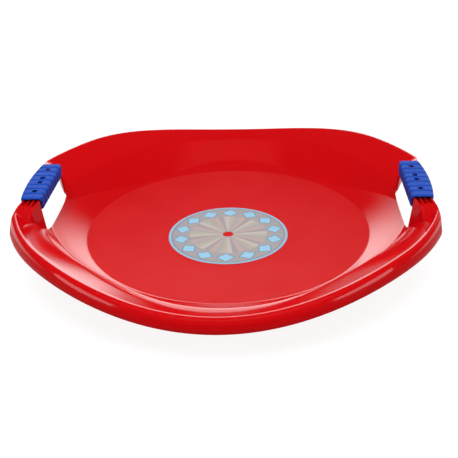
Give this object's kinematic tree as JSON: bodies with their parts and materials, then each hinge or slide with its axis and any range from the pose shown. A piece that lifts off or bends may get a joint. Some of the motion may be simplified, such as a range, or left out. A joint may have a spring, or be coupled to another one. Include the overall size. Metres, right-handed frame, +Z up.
{
  "type": "saucer sled",
  "caption": "Round red plastic saucer sled with a dished floor, a wavy rolled rim, a round label in the middle and a ridged blue grip over a hand hole at each side.",
  "frame": {"origin": "centre of the flat underside of the floor, on the ground", "axes": "+Z up out of the dish, +X towards the right-hand grip as seen in the picture, +Y towards the back"},
  "size_m": [0.5232, 0.56, 0.0855],
  "materials": {
    "red_plastic": "glossy moulded",
    "blue_plastic": "satin moulded",
    "printed_label": "satin printed film"
  },
  "bodies": {
    "root": {"sled_pan": "red_plastic", "right_grip_upper": "blue_plastic", "right_grip_lower": "blue_plastic", "left_grip_upper": "blue_plastic", "left_grip_lower": "blue_plastic", "centre_label": "printed_label"}
  },
  "joints": []
}
